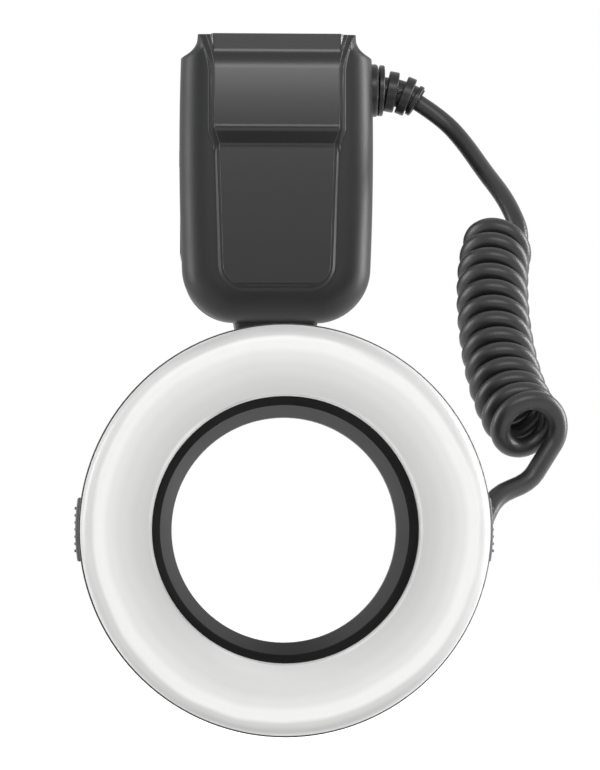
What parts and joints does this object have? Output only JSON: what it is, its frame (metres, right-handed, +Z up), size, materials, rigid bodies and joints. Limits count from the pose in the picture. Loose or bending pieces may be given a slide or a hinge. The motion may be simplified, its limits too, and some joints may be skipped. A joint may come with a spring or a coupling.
{
  "type": "macro ring flash",
  "caption": "Ring-shaped flash head that clips round the front of a lens, with a hot-shoe controller and the curly cord that joins them.",
  "frame": {"origin": "centre of the underside of the controller's hot-shoe foot", "axes": "+Z up, the lamp faces -Y along the lens axis, +X to the right of someone who looks at the lamp"},
  "size_m": [0.1425, 0.1844, 0.2227],
  "materials": {
    "diffuser": "milky, satin",
    "ring_shell": "fine satin",
    "collar": "dull black",
    "reflector": "glossy white",
    "tube_glass": "clear quartz glass",
    "holders": "moulded nylon",
    "leds": "moulded resin lamps",
    "boards": "lacquered circuit board",
    "ring_buttons": "ribbed grey-black",
    "spring_steel": "cold-rolled steel",
    "screws": "blackened steel",
    "cord_rubber": "satin rubber",
    "adapter": "black anodised",
    "casing": "finely grained satin",
    "panel": "smooth satin",
    "window": "polished clear black",
    "screen": "liquid crystal screen",
    "keys": "moulded silicone",
    "dial": "satin black",
    "ferrite": "ferrite core",
    "capacitor": "sleeved aluminium can",
    "battery": "satin black",
    "contacts": "gold plated",
    "flap": "soft moulded rubber",
    "foot": "glass-filled nylon"
  },
  "bodies": {
    "root": {"diffuser": "diffuser", "ring_rear_shell": "ring_shell", "inner_collar": "collar", "reflector_tray": "reflector", "flash_tube_left": "tube_glass", "flash_tube_right": "tube_glass", "tube_holders": "holders", "modelling_leds": "leds", "ring_board": "boards", "latch_spring_left": "spring_steel", "latch_spring_right": "spring_steel", "latch_plate": "spring_steel", "ring_screws": "screws", "ring_cable_boot": "cord_rubber", "controller_front_shell": "casing", "controller_rear_shell": "casing", "front_panel": "panel", "display_window": "window", "display_module": "screen", "dial_encoder": "holders", "main_board": "boards", "charging_transformer": "ferrite", "main_capacitor": "capacitor", "key_switches": "holders", "battery_bay": "holders", "battery_contacts": "contacts", "usb_socket": "spring_steel", "sync_socket": "spring_steel", "shoe_base": "casing", "shoe_foot": "foot", "foot_contacts": "contacts", "shoe_screws": "screws", "case_screws": "screws", "controller_cable_boot": "cord_rubber", "cord_lead_top": "cord_rubber", "cord_curls": "cord_rubber", "cord_lead_bottom": "cord_rubber"},
    "adapter": {"adapter_ring": "adapter"},
    "latch_left": {"latch_slider_left": "ring_buttons"},
    "latch_right": {"latch_slider_right": "ring_buttons"},
    "battery": {"battery_pack": "battery"},
    "battery_catch": {"battery_release": "dial"},
    "lock_lever": {"lock_lever": "dial"},
    "lock_pin": {"lock_pin": "spring_steel"},
    "dial": {"control_dial": "dial"},
    "set_button": {"set_button": "keys"},
    "soft_key_1": {"soft_key_1": "keys"},
    "soft_key_2": {"soft_key_2": "keys"},
    "soft_key_3": {"soft_key_3": "keys"},
    "soft_key_4": {"soft_key_4": "keys"},
    "menu_button": {"menu_button": "keys"},
    "mode_button": {"mode_button": "keys"},
    "lamp_button": {"lamp_button": "keys"},
    "test_button": {"test_button": "keys"},
    "power_switch": {"power_switch": "dial"},
    "port_flap": {"port_flap": "flap"}
  },
  "joints": [
    {"name": "adapter_turn", "type": "hinge", "parent": "root", "child": "adapter", "pos_m": [0, -0.138, -0.057], "axis": [0, 1, 0], "continuous": true},
    {"name": "latch_left_press", "type": "slide", "parent": "root", "child": "latch_left", "axis": [1, 0, 0], "range_m": [0, 0.002], "stiffness_N_per_m": 1500, "springref_m": -0.001, "deforming": ["latch_spring_left"]},
    {"name": "latch_right_press", "type": "slide", "parent": "root", "child": "latch_right", "axis": [-1, 0, 0], "range_m": [0, 0.002], "stiffness_N_per_m": 1500, "springref_m": -0.001, "deforming": ["latch_spring_right"]},
    {"name": "battery_slide", "type": "slide", "parent": "root", "child": "battery", "axis": [-1, 0, 0], "range_m": [0, 0.054]},
    {"name": "battery_release_press", "type": "slide", "parent": "battery", "child": "battery_catch", "axis": [1, 0, 0], "range_m": [0, 0.001], "stiffness_N_per_m": 1200, "springref_m": -0.0005},
    {"name": "lock_lever_turn", "type": "hinge", "parent": "root", "child": "lock_lever", "pos_m": [0, 0, 0.006], "axis": [0, 0, 1], "range_deg": [0, 80]},
    {"name": "lock_pin_lift", "type": "slide", "parent": "root", "child": "lock_pin", "axis": [0, 0, 1], "range_m": [0, 0.00139]},
    {"name": "dial_turn", "type": "hinge", "parent": "root", "child": "dial", "pos_m": [0, 0.024, 0.0439], "axis": [0, 1, 0], "continuous": true},
    {"name": "set_press", "type": "slide", "parent": "root", "child": "set_button", "axis": [0, -1, 0], "range_m": [0, 0.0008], "stiffness_N_per_m": 1200, "springref_m": -0.0005},
    {"name": "soft_key_1_press", "type": "slide", "parent": "root", "child": "soft_key_1", "axis": [0, -1, 0], "range_m": [0, 0.0008], "stiffness_N_per_m": 1200, "springref_m": -0.0005},
    {"name": "soft_key_2_press", "type": "slide", "parent": "root", "child": "soft_key_2", "axis": [0, -1, 0], "range_m": [0, 0.0008], "stiffness_N_per_m": 1200, "springref_m": -0.0005},
    {"name": "soft_key_3_press", "type": "slide", "parent": "root", "child": "soft_key_3", "axis": [0, -1, 0], "range_m": [0, 0.0008], "stiffness_N_per_m": 1200, "springref_m": -0.0005},
    {"name": "soft_key_4_press", "type": "slide", "parent": "root", "child": "soft_key_4", "axis": [0, -1, 0], "range_m": [0, 0.0008], "stiffness_N_per_m": 1200, "springref_m": -0.0005},
    {"name": "menu_press", "type": "slide", "parent": "root", "child": "menu_button", "axis": [0, -1, 0], "range_m": [0, 0.0008], "stiffness_N_per_m": 1200, "springref_m": -0.0005},
    {"name": "mode_press", "type": "slide", "parent": "root", "child": "mode_button", "axis": [0, -1, 0], "range_m": [0, 0.0008], "stiffness_N_per_m": 1200, "springref_m": -0.0005},
    {"name": "lamp_press", "type": "slide", "parent": "root", "child": "lamp_button", "axis": [0, -1, 0], "range_m": [0, 0.0008], "stiffness_N_per_m": 1200, "springref_m": -0.0005},
    {"name": "test_press", "type": "slide", "parent": "root", "child": "test_button", "axis": [0, -1, 0], "range_m": [0, 0.0008], "stiffness_N_per_m": 1200, "springref_m": -0.0005},
    {"name": "power_slide", "type": "slide", "parent": "root", "child": "power_switch", "axis": [1, 0, 0], "range_m": [0, 0.006]},
    {"name": "port_flap_open", "type": "hinge", "parent": "root", "child": "port_flap", "pos_m": [0.03115, 0.0113, 0.04], "axis": [0, 0, 1], "range_deg": [0, 95]}
  ],
  "couplings": [
    {"joint": "lock_lever_turn", "follows": "lock_pin_lift", "rad_per_m": 1000}
  ]
}
